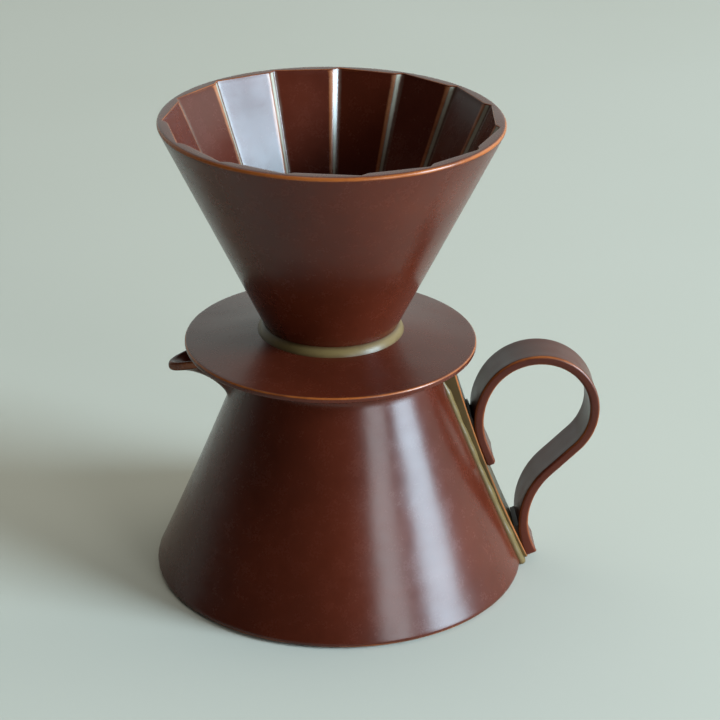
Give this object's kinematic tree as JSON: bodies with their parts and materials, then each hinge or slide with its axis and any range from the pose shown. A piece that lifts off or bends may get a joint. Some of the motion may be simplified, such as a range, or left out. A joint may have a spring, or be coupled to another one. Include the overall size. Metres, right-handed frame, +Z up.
{
  "type": "pour over dripper with server",
  "caption": "Glazed stoneware pour over dripper with a faceted cone and saucer, standing on a conical server with a pinched spout and a ribbon handle.",
  "frame": {"origin": "centre of the server's foot on the table", "axes": "+Z up through the server, +X towards the handle, spout along -X"},
  "size_m": [0.1579, 0.132, 0.1679],
  "materials": {
    "red_glaze": "satin iron-red glaze breaking rust orange on the edges",
    "dripper_glaze": "satin iron-red glaze breaking rust orange on the edges",
    "strip_glaze": "dark olive-brown satin glaze",
    "strap_glaze": "satin iron-red glaze breaking rust orange on the edges",
    "slip_joint": "dark glaze over smoothed slip",
    "pooled_glaze": "olive-cream glaze pooled thickly in the joint",
    "bare_clay": "unglazed matt stoneware"
  },
  "bodies": {
    "server": {"server_wall": "red_glaze", "server_base": "red_glaze", "foot_ring": "bare_clay", "inner_base_coil": "red_glaze", "server_lip": "red_glaze", "pouring_spout": "red_glaze", "handle_backing_strip": "strip_glaze", "handle_strap": "strap_glaze", "strap_tail_joint": "slip_joint", "strap_foot_joint": "slip_joint", "strip_seam_front": "pooled_glaze", "strip_seam_back": "pooled_glaze"},
    "dripper": {"dripper_cone": "dripper_glaze", "dripper_saucer": "dripper_glaze", "cone_joint_bead": "pooled_glaze", "locating_ring": "dripper_glaze", "ring_joint_coil": "dripper_glaze"}
  },
  "joints": [
    {"name": "dripper_lift", "type": "slide", "parent": "server", "child": "dripper", "axis": [0, 0, 1], "range_m": [0, 0.06]}
  ]
}
